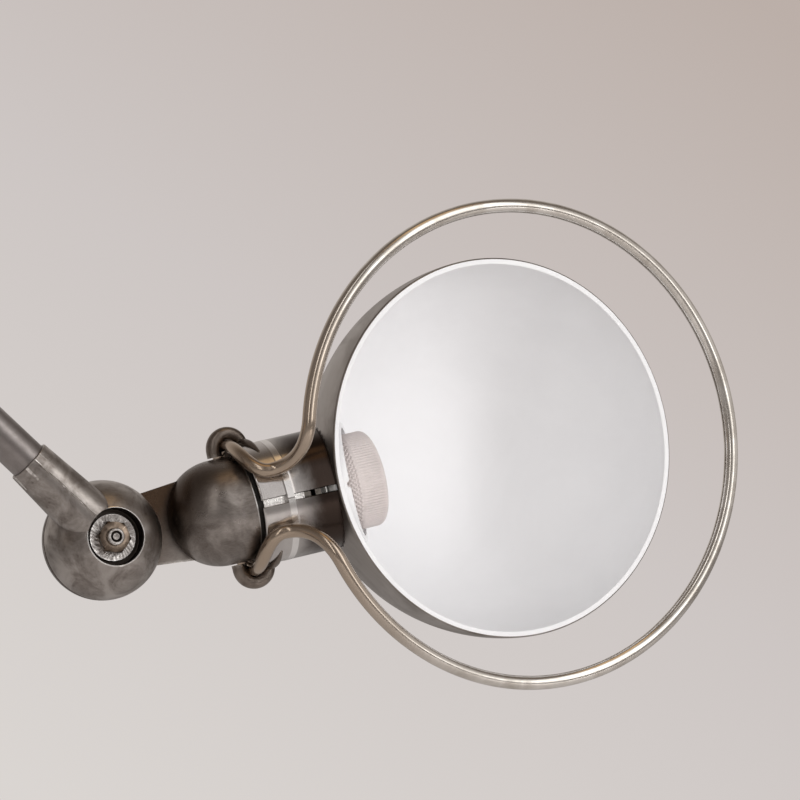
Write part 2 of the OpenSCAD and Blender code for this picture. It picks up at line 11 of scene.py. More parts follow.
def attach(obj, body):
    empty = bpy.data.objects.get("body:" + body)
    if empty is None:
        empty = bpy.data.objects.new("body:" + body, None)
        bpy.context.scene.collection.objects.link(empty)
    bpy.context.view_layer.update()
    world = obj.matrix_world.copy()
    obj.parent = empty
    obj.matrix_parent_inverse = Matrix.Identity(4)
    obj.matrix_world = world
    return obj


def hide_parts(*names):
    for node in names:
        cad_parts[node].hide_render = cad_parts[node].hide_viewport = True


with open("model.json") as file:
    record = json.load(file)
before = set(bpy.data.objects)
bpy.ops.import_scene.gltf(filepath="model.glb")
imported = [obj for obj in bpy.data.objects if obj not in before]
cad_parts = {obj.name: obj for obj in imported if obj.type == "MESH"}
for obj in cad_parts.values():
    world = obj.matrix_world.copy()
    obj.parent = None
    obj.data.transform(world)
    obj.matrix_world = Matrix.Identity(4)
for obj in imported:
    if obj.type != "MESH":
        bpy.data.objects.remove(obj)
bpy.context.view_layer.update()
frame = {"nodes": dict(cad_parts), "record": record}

# ---- Studio ----
# A long lens looks slightly up at the head. A pale wall colour, painted darker towards the lower left
# as painted shade, lies behind and a pale floor below. Three soft boxes light the white enamel and the
# mouldings, and the steel reflects a dim room with windows.
joints = {j["name"]: j for j in frame["record"]["behaviour"]["joints"]}
shoulder, elbow, head = (np.array(joints[n]["pos_m"]) * 1000 for n in ("shoulder", "elbow", "head_tilt"))

view_azimuth, view_elevation = math.radians(-17.65), math.radians(-5.43)
camera_distance, aim_right, aim_up = 3004.0, 118.64, 55.89
towards_camera = np.array([math.sin(view_azimuth) * math.cos(view_elevation),
                           -math.cos(view_azimuth) * math.cos(view_elevation), math.sin(view_elevation)])
view_right = np.array([math.cos(view_azimuth), math.sin(view_azimuth), 0.0])
view_up = np.cross(towards_camera, view_right)
camera_place = head + camera_distance * towards_camera + aim_right * view_right + aim_up * view_up


def set_up(thing, place, right, up, back):
    """Stands a camera or a lamp at a place in metres, with its own right and up, looking away from back."""
    turn = np.stack([right, up, back], axis=1)
    thing.matrix_world = Matrix([[*turn[r], place[r]] for r in range(3)] + [[0, 0, 0, 1]])
    bpy.context.collection.objects.link(thing)


camera = bpy.data.objects.new("camera", bpy.data.cameras.new("camera"))
camera.data.sensor_width = 36.0
camera.data.lens = 339.46
camera.data.clip_end = 50.0
set_up(camera, camera_place / 1000, view_right, view_up, towards_camera)
bpy.context.scene.camera = camera
bpy.context.scene.view_settings.view_transform = "Standard"

lamp_target = head / 1000 + [0.1, 0, 0.03]


def soft_box(name, offset, width, height, power, colour):
    """An area lamp at an offset in metres from the target, turned to it. Steel doesn't reflect the lamp."""
    lamp = bpy.data.objects.new(name, bpy.data.lights.new(name, "AREA"))
    lamp.data.shape, lamp.data.size, lamp.data.size_y = "RECTANGLE", width, height
    lamp.data.energy, lamp.data.color = power, colour
    lamp.visible_glossy = False
    place = lamp_target + offset
    back = (place - lamp_target) / np.linalg.norm(place - lamp_target)
    side = np.cross([0, 0, 1], back)
    side /= np.linalg.norm(side)
    set_up(lamp, place, side, np.cross(back, side), back)


soft_box("key_box", [1.69, -1.98, 0.02], 0.3, 1.2, 29, (1.0, 0.99, 0.99))
soft_box("fill_box", [-0.9, -2.0, 0.35], 1.8, 1.6, 15.5, (1.0, 0.98, 0.965))
soft_box("back_box", [-0.6, 1.3, 1.5], 1.2, 0.8, 16, (1.0, 0.99, 0.98))


def add(tree, kind, links=None, **settings):
    """One shader node: settings are its properties, and links gives its inputs' values or sockets."""
    made = tree.nodes.new("ShaderNode" + kind)
    for key, value in settings.items():
        setattr(made, key, value)
    for key, value in (links or {}).items():
        if isinstance(value, bpy.types.NodeSocket):
            tree.links.new(value, made.inputs[key])
        else:
            made.inputs[key].default_value = value
    return made


def worked(tree, operation, *values):
    """One step of arithmetic on numbers or sockets."""
    return add(tree, "Math", dict(enumerate(values)), operation=operation).outputs[0]


def reach(tree, vector, axis):
    """How far a vector reaches along an axis: their dot product."""
    return add(tree, "VectorMath", {0: vector, 1: tuple(axis)}, operation="DOT_PRODUCT").outputs["Value"]


def ranged(tree, value, low=0.0, high=1.0, to_low=0.0, to_high=1.0, way="LINEAR"):
    """A value's place between low and high, held within them, and laid out between to_low and to_high."""
    ends = {"From Min": low, "From Max": high, "To Min": to_low, "To Max": to_high}
    return add(tree, "MapRange", {"Value": value, **ends}, interpolation_type=way).outputs[0]


def blended(tree, factor, first, second):
    """A colour: (1 - factor) times the first and factor times the second."""
    return add(tree, "Mix", {"Factor": factor, 6: first, 7: second}, data_type="RGBA").outputs[2]


def ramp(tree, factor, first, last, between):
    """A run of colours from the first at 0 to the last at 1, by way of others at given places."""
    made = add(tree, "ValToRGB", {"Fac": factor})
    made.color_ramp.elements[0].color, made.color_ramp.elements[1].color = first, last
    for at, colour in between:
        made.color_ramp.elements.new(at).color = colour
    return made.outputs["Color"]


world = bpy.data.worlds.new("pale_wall")
bpy.context.scene.world = world
world.use_nodes = True
tree = world.node_tree
tree.nodes.clear()
direction = add(tree, "TexCoord").outputs["Generated"]
# The wall the camera sees is painted darker and browner towards the lower left of the view: painted shade.
down_left = -0.55 * view_right - 0.835 * view_up
backdrop_painted_shade = ramp(tree, ranged(tree, reach(tree, direction, down_left), -0.07, 0.07),
                 (0.50, 0.43, 0.395, 1), (0.70, 0.665, 0.64, 1), [(0.5, (0.61, 0.565, 0.55, 1))])

# The room is dim, darkest below and lightest above eye level. In it are soft patches: the pale wall behind,
# one at the right, a warm floor at the left and a warm lamp above. Each has a direction, an edge and a core.
height = add(tree, "SeparateXYZ", {0: direction}).outputs["Z"]
reflected = ramp(tree, ranged(tree, height, -1.0), (0.10, 0.088, 0.085, 1), (0.16, 0.13, 0.105, 1), [
    (0.30, (0.085, 0.075, 0.072, 1)), (0.48, (0.16, 0.145, 0.14, 1)),
    (0.60, (0.33, 0.305, 0.29, 1)), (0.80, (0.22, 0.195, 0.18, 1))])
for toward, edge, core, colour in (((0.10, 0.99, 0.02), 0.12, 0.8, (0.56, 0.52, 0.49, 1)),
                                   ((0.92, -0.36, 0.12), 0.72, 0.95, (0.66, 0.63, 0.61, 1)),
                                   ((-0.93, -0.10, -0.33), 0.88, 0.97, (0.75, 0.55, 0.36, 1)),
                                   ((0.10, -0.30, 0.95), 0.96, 0.985, (0.75, 0.52, 0.30, 1))):
    patch = ranged(tree, reach(tree, direction, toward), edge, core, way="SMOOTHSTEP")
    reflected = blended(tree, patch, reflected, colour)
# Three windows stand in front: a wide dim one in the middle, a narrow bright one at the left and a bright
# one at the right. Each is an upright strip: its directions lie near a plane, on one side of the room.
window_edge, window_core = 0.45, 0.75
for plane, side, half_width, colour in (((0.95, 0.30, 0.0), (0.30, -0.95, 0.0), 0.26, (0.74, 0.72, 0.71, 1)),
                                        ((0.87, -0.50, 0.0), (-0.50, -0.87, 0.0), 0.09, (2.4, 2.36, 2.3, 1)),
                                        ((0.86, 0.51, 0.0), (0.51, -0.86, 0.0), 0.20, (2.2, 2.17, 2.13, 1))):
    beside = worked(tree, "ABSOLUTE", reach(tree, direction, plane))
    narrow = ranged(tree, beside, half_width, 0.6 * half_width)
    facing = ranged(tree, reach(tree, direction, side), window_edge, window_core)
    reflected = blended(tree, worked(tree, "MULTIPLY", narrow, facing), reflected, colour)

path = add(tree, "LightPath")
seen = worked(tree, "MAXIMUM", path.outputs["Is Camera Ray"], path.outputs["Is Transmission Ray"])
lit = blended(tree, path.outputs["Is Glossy Ray"], (0.40, 0.39, 0.385, 1), reflected)
backdrop = add(tree, "Background", {"Color": blended(tree, seen, lit, backdrop_painted_shade), "Strength": 1.0})
tree.links.new(backdrop.outputs[0], add(tree, "OutputWorld").inputs["Surface"])

floor_reach, floor_level = 25, -0.72
floor = bpy.data.objects.new("floor", bpy.data.meshes.new("floor"))
floor.data.from_pydata([(x * floor_reach, y * floor_reach, floor_level)
                        for x, y in ((-1, -1), (1, -1), (1, 1), (-1, 1))], [], [(0, 1, 2, 3)])
bpy.context.collection.objects.link(floor)
paint = bpy.data.materials.new("pale_floor")
paint.use_nodes = True
paint.node_tree.nodes["Principled BSDF"].inputs["Base Color"].default_value = (0.74, 0.71, 0.69, 1)
paint.node_tree.nodes["Principled BSDF"].inputs["Roughness"].default_value = 0.9
floor.data.materials.append(paint)

# ---- Ball joints ----
# Each joint is a ball of 48 mm, cast in two halves and turned smooth. An arm socket grows out of one
# half, and its casting seam was left on. The front half's recess holds the nut, the back's the axle's head.
ball_radius, split_half_gap, cavity_radius, cavity_depth = 24.0, 0.15, 17.0, 5.0
recess_floor, axle_bore, nut_recess, head_recess = 14.0, 4.05, 11.5, 9.0
socket_offset, socket_end, bore_end, tube_bore = 12.0, 45.0, 27.0, 8.05
socket_root_x, socket_root, socket_mouth, mouth_band, cone_band = 12.0, 11.0, 9.2, 6.3, 6.6


def rounded(corners):
    """A path of straight lines whose corners (a, b, radius) are rounded by arcs that touch both lines."""
    corners = [np.array(c, float) for c in corners]
    out = [corners[0][:2]]
    for before, here, after in zip(corners, corners[1:], corners[2:]):
        a, b = before[:2] - here[:2], after[:2] - here[:2]
        la, lb = np.linalg.norm(a), np.linalg.norm(b)
        a, b = a / la, b / lb
        half = math.acos(float(np.clip(a @ b, -1, 1))) / 2
        r = here[2] if len(here) > 2 else 0
        cut = min(r / max(math.tan(half), 1e-6), 0.48 * la, 0.48 * lb)
        if r == 0 or cut < 1e-6:
            out.append(here[:2])
            continue
        r = cut * math.tan(half)
        centre = here[:2] + (a + b) / np.linalg.norm(a + b) * r / math.sin(half)
        start, end = here[:2] + a * cut - centre, here[:2] + b * cut - centre
        sweep = math.pi - 2 * half
        out.append(here[:2] + a * min(1.5 * cut, 0.49 * la))
        for t in np.linspace(0, 1, 6):
            spun = math.sin((1 - t) * sweep) * start + math.sin(t * sweep) * end
            out.append(centre + spun / math.sin(sweep))
        out.append(here[:2] + b * min(1.5 * cut, 0.49 * lb))
    out.append(corners[-1][:2])
    return np.array(out)


def revolved(profile, count):
    """A profile of (radius, height) turned about Z: x = r cos a, y = r sin a, z = height."""
    angle = np.linspace(0, 2 * math.pi, count)
    r, h = np.array(profile)[:, 0, None], np.array(profile)[:, 1, None]
    return np.stack([r * np.cos(angle), r * np.sin(angle), h + 0 * angle], -1)


def along_x(grid):
    """Turns a grid drawn about Z so that it lies about X."""
    return np.stack([grid[..., 2], grid[..., 1], -grid[..., 0]], -1)


def frame_at(origin, x_axis, y_axis):
    """A piece's own axes in the lamp: origin, then the X, Y and Z directions as rows."""
    x, y = np.array(x_axis, float), np.array(y_axis, float)
    return np.array(origin, float), np.stack([x, y, np.cross(x, y)])


def towards(x_axis, z_axis, origin):
    """A frame with X along x_axis and Z along z_axis."""
    return frame_at(origin, x_axis, np.cross(z_axis, x_axis))


def placed(grid, place):
    """Carries a grid from a piece's own axes into the lamp, in metres."""
    origin, axes = place
    return (origin + grid @ axes) / 1000


def made_piece(name, grids, body, slot_name, finish, *stands_for, rows_of=None):
    """One mesh from closed grids: neighbours in rows and columns share faces, and seams are merged.
    finish is one material or a list, and rows_of says which of the list each row of a grid has."""
    points, faces, kinds, first = [], [], [], 0
    for g, grid in enumerate(grids):
        rows, cols = grid.shape[:2]
        i, j = np.arange(rows - 1)[:, None], np.arange(cols - 1)[None, :]
        quads = np.stack([i * cols + j, (i + 1) * cols + j, (i + 1) * cols + j + 1, i * cols + j + 1], -1)
        points.append(grid.reshape(-1, 3))
        faces.append(quads.reshape(-1, 4) + first)
        kind = np.zeros((rows - 1, 1), int)
        if rows_of is not None and rows_of[g] is not None:
            kind = rows_of[g][:, None]
        kinds.append(np.broadcast_to(kind, (rows - 1, cols - 1)).reshape(-1))
        first += rows * cols
    mesh = bpy.data.meshes.new(name)
    mesh.from_pydata(np.concatenate(points), [], np.concatenate(faces))
    mesh.polygons.foreach_set("material_index", np.concatenate(kinds).astype(np.int32))
    shape = bmesh.new()
    shape.from_mesh(mesh)
    bmesh.ops.remove_doubles(shape, verts=shape.verts, dist=2e-6)
    bmesh.ops.dissolve_degenerate(shape, edges=shape.edges, dist=1e-7)
    bmesh.ops.recalc_face_normals(shape, faces=shape.faces)
    shape.to_mesh(mesh)
    shape.free()
    mesh.polygons.foreach_set("use_smooth", np.ones(len(mesh.polygons), bool))
    mesh.set_sharp_from_angle(angle=math.radians(35))
    piece = bpy.data.objects.new(name, mesh)
    bpy.context.collection.objects.link(piece)
    for material in finish if isinstance(finish, list) else [finish]:
        mesh.materials.append(material)
    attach(piece, body)
    if stands_for:
        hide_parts(*stands_for)
    return piece


def half_ball(recess_radius):
    """A half-ball about Z: bore, recess floor, recess wall, ball, split face and the cavity behind it.
    Its rows are cast, but for the recess's turned rim (1) and its wall and floor (2), which are near-black:
    painted shade."""
    rim_z = math.sqrt(ball_radius ** 2 - recess_radius ** 2)
    lip = math.asin((recess_radius + 0.55) / ball_radius)
    angle = np.linspace(lip, math.pi / 2 - 0.03, 60)
    ball = np.stack([ball_radius * np.sin(angle), ball_radius * np.cos(angle)], -1)
    top = rounded([(axle_bore, cavity_depth), (axle_bore, recess_floor, 0.3),
                   (recess_radius, recess_floor, 0.5), (recess_radius, rim_z + 0.12, 0.28), tuple(ball[0])])
    low = rounded([tuple(ball[-1]), (ball_radius - 0.02, split_half_gap, 0.3),
                   (cavity_radius, split_half_gap, 0.4), (cavity_radius, cavity_depth, 0.6),
                   (axle_bore, cavity_depth)])
    section = np.concatenate([top[:-1], ball, low[1:]])
    middle = (section[1:] + section[:-1]) / 2
    in_recess = (middle[:, 1] > recess_floor - 0.1) & (middle[:, 0] < recess_radius + 0.2)
    on_rim = (np.abs(middle[:, 0] - recess_radius - 0.3) < 0.45) & (middle[:, 1] > rim_z - 0.35)
    return revolved(section, 181), np.where(on_rim, 1, np.where(in_recess, 2, 0))


def arm_socket(recess_radius):
    """The socket about its own axis: bore, mouth, cone, and a round root that sinks into the ball.
    A casting seam stands on its front line, and what would reach into the recess is pushed to its wall."""
    t = np.linspace(-1, 1, 181)
    around = math.pi * (0.22 * t + 0.78 * t ** 3)
    mouth = rounded([(tube_bore, bore_end), (tube_bore, socket_end, 0.25), (socket_mouth, socket_end, 0.45),
                     (socket_mouth + 0.35, socket_end - mouth_band)])
    along = np.linspace(socket_end - cone_band, socket_root_x, 50)
    widening = (socket_root - socket_mouth) * (socket_end - along) / (socket_end - socket_root_x)
    cone = np.stack([socket_mouth + widening, along], -1)
    a = np.linspace(0, math.pi / 2, 40)[1:]
    root = np.stack([socket_root * np.cos(a) ** 0.8, socket_root_x - socket_root * np.sin(a) ** 0.8], -1)
    profile = np.concatenate([mouth[:-1], cone, root])
    r, x = profile[:, 0, None], profile[:, 1, None]
    outside = np.clip((socket_end - 0.6 - x) / 1.0, 0, 1) * np.clip((r - 8.5) / 0.5, 0, 1)
    wander = 0.16 * np.sin(x * 0.55) + 0.08 * np.sin(x * 1.7 + 1)
    seam = 0.5 * np.exp(-(((around * r) - wander) / 0.26) ** 2) * (0.8 + 0.2 * np.sin(x * 1.1))
    r = r + outside * seam
    grid = np.stack([x + 0 * around, r * np.sin(around), socket_offset + r * np.cos(around)], -1)
    flat = np.hypot(grid[..., 0], grid[..., 1])
    wall = recess_radius + 0.12
    push = np.where((flat < wall) & (grid[..., 2] > 3), wall / np.maximum(flat, 0.5), 1.0)
    grid[..., :2] *= push[..., None]
    return grid


def node_group(name, inputs, output):
    """An empty node group: inputs are (name, kind, value), and it puts out one value."""
    group = bpy.data.node_groups.new(name, "ShaderNodeTree")
    for socket, kind, value in inputs:
        made = group.interface.new_socket(socket, in_out="INPUT", socket_type="NodeSocket" + kind)
        if value is not None:
            made.default_value = value
    group.interface.new_socket(output, in_out="OUTPUT", socket_type="NodeSocketFloat")
    return group, group.nodes.new("NodeGroupInput").outputs, group.nodes.new("NodeGroupOutput")


# Edge wear: bright metal shows where a mesh bends outwards, broken up by noise
wear, given, out = node_group("edge_wear", (("Edge", "Float", 0.53), ("Breaks", "Float", 350.0)), "Mask")
bend = add(wear, "NewGeometry").outputs["Pointiness"]
breaks = add(wear, "TexNoise", {"Vector": add(wear, "TexCoord").outputs["Object"], "Scale": given["Breaks"],
                                "Detail": 3.0})
soft = ranged(wear, bend, given["Edge"], worked(wear, "ADD", given["Edge"], 0.06))
broken = ranged(wear, breaks.outputs["Fac"], 0.25, 0.55)
wear.links.new(worked(wear, "MULTIPLY", soft, broken), out.inputs["Mask"])

# Patina: large soft stains, as noise spread about its middle, from 0 to 1
stain, given, out = node_group("patina", (("Vector", "Vector", None), ("Scale", "Float", 40.0),
                                          ("Contrast", "Float", 0.3)), "Stain")
wide = add(stain, "TexNoise", {"Vector": given["Vector"], "Scale": given["Scale"], "Detail": 5.0,
                               "Roughness": 0.62, "Distortion": 0.6})
low, high = (worked(stain, operation, 0.5, given["Contrast"]) for operation in ("SUBTRACT", "ADD"))
spread = ranged(stain, wide.outputs["Fac"], low, high, way="SMOOTHSTEP")
stain.links.new(spread, out.inputs["Stain"])

# Grain: fine pits and tool marks as a height from 0 to 1
grain, given, out = node_group("grain", (("Vector", "Vector", None), ("Scale", "Float", 900.0),
                                         ("Pits", "Float", 0.5)), "Height")
fine = add(grain, "TexNoise", {"Vector": given["Vector"], "Scale": given["Scale"], "Detail": 4.0,
                               "Roughness": 0.7})
pit_scale = worked(grain, "MULTIPLY", given["Scale"], 0.6)
pits = add(grain, "TexVoronoi", {"Vector": given["Vector"], "Scale": pit_scale})
pit = ranged(grain, pits.outputs["Distance"], 0.0, 0.35)
height = add(grain, "Mix", {"Factor": given["Pits"], 2: fine.outputs["Fac"], 3: pit})
grain.links.new(height.outputs[0], out.inputs["Height"])


def new_material(name):
    """A material with an empty tree of nodes."""
    material = bpy.data.materials.new(name)
    material.use_nodes = True
    material.node_tree.nodes.clear()
    return material, material.node_tree


def finished(tree, inputs):
    """The surface's shader, which ends a material's tree."""
    shader = add(tree, "BsdfPrincipled", inputs)
    tree.links.new(shader.outputs[0], add(tree, "OutputMaterial").inputs["Surface"])


def steel(name, dark, light, worn, roughness, grain_scale, grain_depth, pits, stain_scale=45.0,
          contrast=0.22, edge=0.53, turn=(0, 0, 0), stretch=(1, 1, 1), patina_and_painted_light=None):
    """Bare steel: stains between a dark and a light colour, worn edges, painted shade that darkens its
    creases and hollows, and a grain that bumps the surface.
    turn and stretch lay the grain along a direction, as brushing does. The last argument, when given, is
    (axis, start, end, colour): the steel takes that colour, in clouds, from start to end along the axis, in
    mm from the head joint. That colour is partly patina and partly painted shade and painted reflection."""
    material, tree = new_material(name)
    where = add(tree, "TexCoord").outputs["Object"]
    laid = add(tree, "Mapping", {"Vector": where, "Rotation": turn, "Scale": stretch}, vector_type="TEXTURE")
    stains = add(tree, "Group", {"Vector": where, "Scale": stain_scale, "Contrast": contrast},
                 node_tree=stain).outputs[0]
    grains = add(tree, "Group", {"Vector": laid.outputs[0], "Scale": grain_scale, "Pits": pits},
                 node_tree=grain).outputs[0]
    worn_edge = add(tree, "Group", {"Edge": edge}, node_tree=wear).outputs[0]
    flecks = ranged(tree, grains, 0.35, 0.75, 0.0, 0.35)
    bare = blended(tree, flecks, blended(tree, stains, dark, light), light)
    bare = blended(tree, worn_edge, bare, worn)
    # A band of colour along an axis: patina, and painted shade and painted reflection on one end of a piece.
    if patina_and_painted_light:
        axis, start, end, patina_and_light_colour = patina_and_painted_light
        cloudy = worked(tree, "MULTIPLY_ADD", stains, 0.006, reach(tree, where, axis))
        zero = float(np.dot(axis, head)) / 1000 + 0.003
        patina_and_light_mask = ranged(tree, cloudy, zero + start / 1000, zero + end / 1000, way="SMOOTHSTEP")
        bare = blended(tree, patina_and_light_mask, bare, patina_and_light_colour)
    # Painted shade: ambient occlusion darkens creases, hollows and narrow gaps towards 0.3 of the dark
    # colour.
    shelter = add(tree, "AmbientOcclusion", {"Distance": 0.003}, samples=6, only_local=True)
    painted_shade_factor = ranged(tree, shelter.outputs["AO"], 0.3, 0.8, 0.3)
    rough = ranged(tree, stains, 0.0, 1.0, roughness + 0.08, roughness - 0.05)
    bump = add(tree, "Bump", {"Height": grains, "Strength": 1.0, "Distance": grain_depth})
    finished(tree, {"Base Color": blended(tree, painted_shade_factor, tuple(0.3 * c for c in dark[:3]) + (1,), bare),
                    "Roughness": worked(tree, "SUBTRACT", rough, worked(tree, "MULTIPLY", worn_edge, 0.14)),
                    "Normal": bump.outputs[0], "Metallic": 1.0})
    return material


rim_steel = steel("rim_steel", (0.50, 0.48, 0.46, 1), (0.80, 0.78, 0.76, 1), (0.95, 0.94, 0.92, 1), 0.26,
                  700.0, 0.00003, 0.2)
# Near-black steel: painted shade in the ball recesses, the stud grooves and the gap behind the dome.
painted_shade_steel = steel("painted_shade_steel", (0.025, 0.02, 0.017, 1), (0.07, 0.058, 0.05, 1), (0.2, 0.18, 0.16, 1),
                    0.45, 900.0, 0.00004, 0.3)
cast_steel = steel("cast_steel", (0.13, 0.105, 0.09, 1), (0.42, 0.385, 0.36, 1), (0.72, 0.69, 0.66, 1), 0.34,
                   700.0, 0.0001, 0.35, stain_scale=85.0, contrast=0.16)

# The arms' own directions: X along the arm, Z towards the front of the lamp
arm_1_dir = (elbow - shoulder) / np.linalg.norm(elbow - shoulder)
arm_2_dir = (head - elbow) / np.linalg.norm(head - elbow)
front = np.array([0.0, -1.0, 0.0])
arm_length = np.linalg.norm(head - elbow)

for node, body, centre, outward, side, recess in (
        ("shoulder_half_ball", "arm_1", shoulder, arm_1_dir, -front, head_recess),
        ("elbow_back_half_ball", "arm_1", elbow, -arm_1_dir, -front, head_recess),
        ("elbow_front_half_ball", "arm_2", elbow, arm_2_dir, front, nut_recess),
        ("head_half_ball", "arm_2", head, -arm_2_dir, front, nut_recess)):
    place = towards(outward, side, centre)
    ball, ball_kinds = half_ball(recess)
    made_piece(node + "_casting", [placed(ball, place), placed(arm_socket(recess), place)],
               body, "bare_steel", [cast_steel, rim_steel, painted_shade_steel], node, rows_of=[ball_kinds, None])

# ---- Arm tubes ----
# Two steel tubes of 16 mm, drawn and left bare, pushed into the sockets and held by set screws.
tube_radius, tube_inner, tube_inset = 8.0, 6.5, 26.2
tube_steel = steel("tube_steel", (0.16, 0.14, 0.13, 1), (0.35, 0.32, 0.31, 1), (0.5, 0.47, 0.45, 1), 0.34,
                   160.0, 0.00003, 0.1, stain_scale=30.0)
for node, body, start, direction, side in (("arm_1_tube", "arm_1", shoulder, arm_1_dir, -front),
                                           ("arm_2_tube", "arm_2", elbow, arm_2_dir, front)):
    tube_end = arm_length - tube_inset
    wall = rounded([(tube_inner, tube_inset), (tube_inner, tube_end, 0.3), (tube_radius, tube_end, 0.3),
                    (tube_radius, tube_inset, 0.3), (tube_inner, tube_inset)])
    grid = along_x(revolved(wall, 97)) + [0, 0, socket_offset]
    made_piece(node + "_drawn", [placed(grid, towards(direction, side, start))], body, "brushed_tube",
               tube_steel, node)

# ---- Nuts, washers and studs ----
# A 7 mm stud with a turned end, a dark hex nut and a torn toothed washer clamp each ball.
bright_zinc = steel("bright_zinc", (0.24, 0.215, 0.20, 1), (0.66, 0.63, 0.61, 1), (0.85, 0.83, 0.81, 1), 0.3,
                    1500.0, 0.00012, 0.3, stain_scale=260.0, contrast=0.14, edge=0.51)
bronzed = steel("bronzed_nut", (0.03, 0.02, 0.014, 1), (0.11, 0.08, 0.058, 1), (0.30, 0.235, 0.185, 1), 0.36,
                900.0, 0.00004, 0.2, stain_scale=180.0)
washer_bottom, washer_thickness, washer_radius, nut_flats, nut_height = 14.0, 2.0, 9.5, 12.0, 3.5
stud_radius, stud_foot, stud_top, groove_outer, groove_inner = 3.45, 12.5, 21.6, 2.25, 1.55
bolt_head_radius, bolt_head_top, bolt_head_height, shank_radius, shank_top = 7, -17.4, 3.5, 4, 13.6
nut_bottom = washer_bottom + washer_thickness


def hex_nut(flats, bottom, top, bore):
    """A nut about Z: its outline is flats / 2 / cos of the angle from a flat's middle, cut by a top cone."""
    angle = np.linspace(0, 2 * math.pi, 289)
    outline = flats / 2 / np.cos((angle + math.pi / 6) % (math.pi / 3) - math.pi / 6)
    height = np.array([bottom, bottom, top - 1.4, top - 0.75, top - 0.15, top, top, bottom])
    limit = np.array([0, flats, flats, flats / 2 + 0.75, flats / 2 + 0.1, flats / 2 - 0.3, 0, 0])
    radius = np.minimum(outline[None, :], limit[:, None])
    radius[[0, 6, 7]] = bore
    return np.stack([radius * np.cos(angle), radius * np.sin(angle), height[:, None] + 0 * angle], -1)


def toothed_washer(outer, inner, bottom, thickness):
    """A washer about Z whose upper face is torn into radial teeth, deepest at half its width."""
    angle = np.linspace(0, 2 * math.pi, 433)
    top = bottom + thickness
    r = np.array([inner, inner, inner + 0.3, *np.linspace(inner + 0.6, outer - 0.5, 14), outer - 0.15, outer,
                  outer, inner])
    z = np.array([bottom, top - 0.2] + [top] * 16 + [top - 0.25, bottom, bottom])
    middle = np.clip(1 - np.abs((r - (inner + outer) / 2) / (outer - inner) * 2.1), 0, 1) ** 0.5
    middle[[0, 1, -1, -2, -3]] = 0
    teeth = np.abs((angle * 17 / math.pi + 0.9 * np.sin(3 * angle) + 0.4 * np.sin(7 * angle)) % 2 - 1)
    torn = 0.5 + 0.5 * np.sin(angle * 31 + r[:, None] * 1.7 + 3 * np.sin(5 * angle))
    grid = revolved(np.stack([r, z], -1), len(angle))
    grid[..., 2] -= middle[:, None] * (0.18 * teeth + 0.22 * torn)
    return grid


stud = rounded([(0, stud_foot), (stud_radius, stud_foot), (stud_radius, stud_top - 0.45, 0.2),
                (stud_radius - 0.4, stud_top, 0.25), (groove_outer, stud_top, 0.2),
                (groove_outer - 0.1, stud_top - 1.1, 0.1), (groove_inner, stud_top - 1.1, 0.1),
                (groove_inner - 0.15, stud_top - 0.15, 0.3), (0.5, stud_top - 0.4, 0.2),
                (0, stud_top - 0.7)])
stud_r, stud_z = ((stud[1:] + stud[:-1]) / 2).T
# The groove in the stud's turned end is drawn near-black as painted shade.
in_groove = (stud_z > stud_top - 1.3) & (stud_r < groove_outer + 0.05) & (stud_r > groove_inner - 0.1)
bolt_head_bottom = bolt_head_top - bolt_head_height
shank = rounded([(0, bolt_head_bottom), (bolt_head_radius, bolt_head_bottom, 0.5),
                 (bolt_head_radius, bolt_head_top, 0.3), (shank_radius, bolt_head_top),
                 (shank_radius, shank_top, 0.3), (0, shank_top)])
for joint, body, centre, spin in (("shoulder", "turret", shoulder, 0.3), ("elbow", "arm_2", elbow, 1.1),
                                  ("head", "arm_2", head, 0.45)):
    place = towards([math.cos(spin), 0, math.sin(spin)], front, centre)
    made_piece(joint + "_stud", [placed(revolved(stud, 97), place), placed(revolved(shank, 97), place)],
               body, "plated_steel", [bright_zinc, painted_shade_steel], joint + "_axle",
               rows_of=[np.where(in_groove, 1, 0), None])
    nut = hex_nut(nut_flats, nut_bottom, nut_bottom + nut_height, stud_radius + 0.1)
    made_piece(joint + "_hex_nut", [placed(nut, place)], body, "plated_steel", bronzed, joint + "_nut")
    washer = toothed_washer(washer_radius, stud_radius + 0.15, washer_bottom, washer_thickness)
    made_piece(joint + "_toothed_washer", [placed(washer, place)], body, "plated_steel", bright_zinc,
               joint + "_washer")

# ---- Head knuckle and base stem ----
# The back half of the head ball runs out into a cone and a turned dome, whose spigot carries the neck.
# The base stem is the same casting with a collar and a shaft.
head_axis = np.array(joints["head_swivel"]["axis"])
head_up = np.cross(head_axis, [0, 1, 0])
up_left = 0.66 * head_up - 0.75 * head_axis
cone_start, cone_root, cone_mouth, knuckle_cone_end, stem_cone_end = 12.0, 14.0, 17.2, 46.0, 45.0
dome_radius, dome_centre, dome_end, spigot_radius, spigot_end = 21.4, 50, 60, 17, 82.8
collar_radius, collar_start, collar_end, shaft_radius, shaft_end = 17.4, 44, 50, 9, 106.8
brushed_lean = (0, math.radians(-14), 0)
# Near the ball and towards the upper left, the knuckle is painted dark brown: painted shade.
turned_steel = steel("turned_steel", (0.12, 0.10, 0.088, 1), (0.38, 0.345, 0.32, 1), (0.75, 0.71, 0.67, 1),
                     0.3, 520.0, 0.00007, 0.15, stain_scale=60.0, contrast=0.18, turn=brushed_lean,
                     stretch=(1.6, 0.3, 0.3), patina_and_painted_light=(up_left, -36.0, -14.0, (0.06, 0.038, 0.025, 1)))


